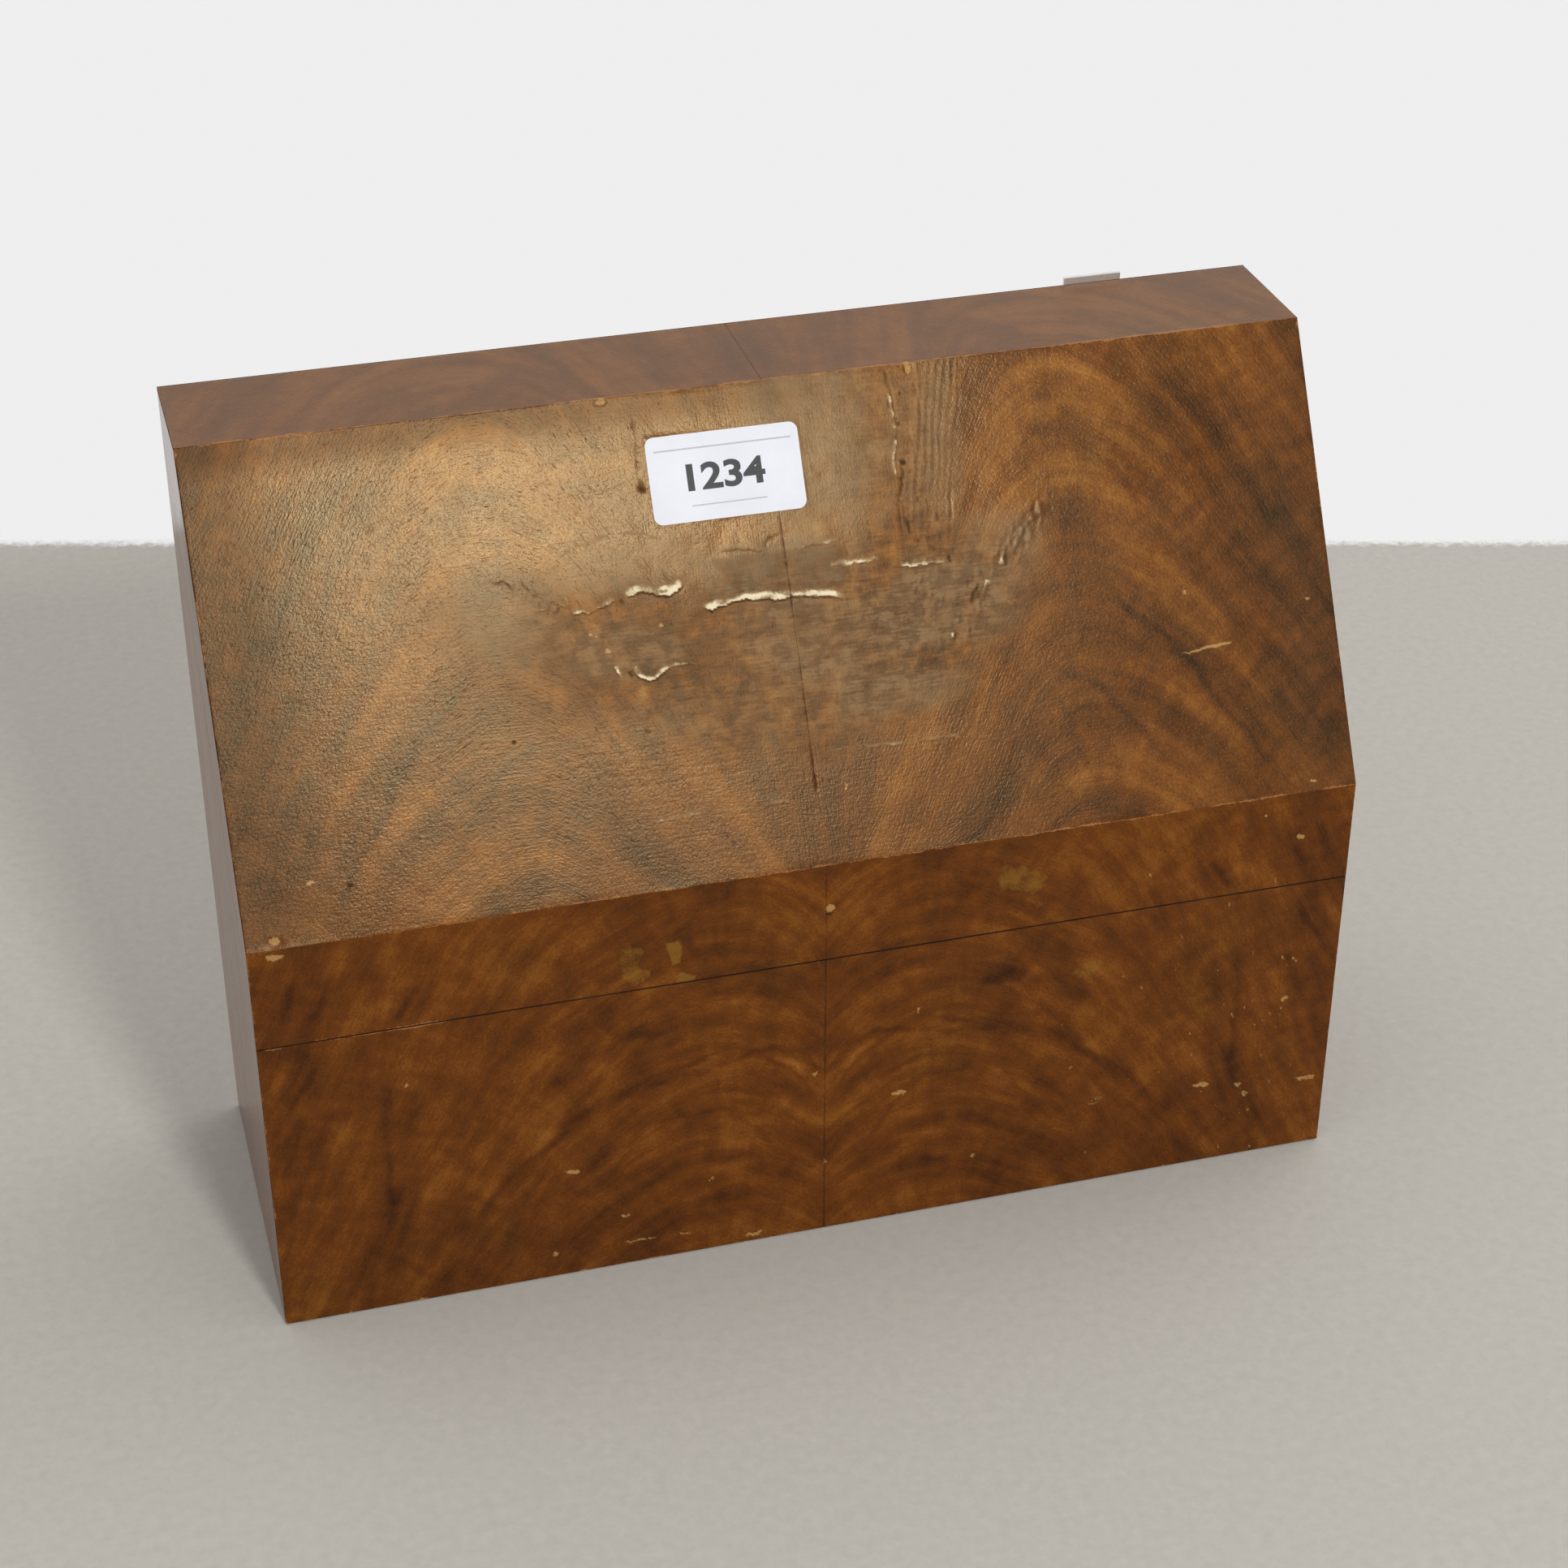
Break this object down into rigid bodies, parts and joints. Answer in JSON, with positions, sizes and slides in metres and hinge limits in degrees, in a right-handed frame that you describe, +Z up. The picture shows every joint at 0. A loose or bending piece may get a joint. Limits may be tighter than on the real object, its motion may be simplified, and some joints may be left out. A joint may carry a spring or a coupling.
{
  "type": "stationery box",
  "caption": "Slope-front veneered wooden stationery box with a lid hinged at the back and graduated compartments for paper and envelopes.",
  "frame": {"origin": "middle of the underside of the carcass, on the ground plane", "axes": "+X to the right along the box's width, +Y from the front to the back, +Z up"},
  "size_m": [0.338, 0.1177, 0.2629],
  "materials": {
    "figured_veneer": "figured mahogany veneer, worn french polish",
    "carcass_wood": "plain sawn softwood, stained and aged",
    "interior_wood": "plain mahogany, thin satin polish",
    "hinge_steel": "plain pale steel, dulled",
    "label_paper": "white self-adhesive paper"
  },
  "bodies": {
    "base": {"base_back_board": "carcass_wood", "base_back_veneer": "figured_veneer", "base_bottom_board": "carcass_wood", "base_front_board": "carcass_wood", "base_front_veneer_left": "figured_veneer", "base_front_veneer_right": "figured_veneer", "base_left_cheek": "carcass_wood", "base_left_veneer": "figured_veneer", "base_right_cheek": "carcass_wood", "base_right_veneer": "figured_veneer", "divider_back": "interior_wood", "divider_front": "interior_wood", "divider_middle": "interior_wood", "front_lining": "interior_wood", "hinge_base_screws": "hinge_steel", "hinge_left_base_leaf": "hinge_steel", "hinge_left_pin": "hinge_steel", "hinge_right_base_leaf": "hinge_steel", "hinge_right_pin": "hinge_steel", "left_lining": "interior_wood", "partition_back": "interior_wood", "partition_front": "interior_wood", "right_lining": "interior_wood"},
    "lid": {"hinge_left_lid_leaf": "hinge_steel", "hinge_lid_screws": "hinge_steel", "hinge_right_lid_leaf": "hinge_steel", "lid_back_rail": "carcass_wood", "lid_back_veneer": "figured_veneer", "lid_band_veneer_left": "figured_veneer", "lid_band_veneer_right": "figured_veneer", "lid_front_rail": "carcass_wood", "lid_left_cheek": "carcass_wood", "lid_left_veneer": "figured_veneer", "lid_right_cheek": "carcass_wood", "lid_right_veneer": "figured_veneer", "lid_slope_board": "carcass_wood", "lid_slope_veneer_left": "figured_veneer", "lid_slope_veneer_right": "figured_veneer", "lid_top_board": "carcass_wood", "lid_top_veneer_left": "figured_veneer", "lid_top_veneer_right": "figured_veneer", "paper_label": "label_paper"}
  },
  "joints": [
    {"name": "lid_hinge", "type": "hinge", "parent": "base", "child": "lid", "pos_m": [0, 0.059, 0.249], "axis": [-1, 0, 0], "range_deg": [0, 135]}
  ]
}
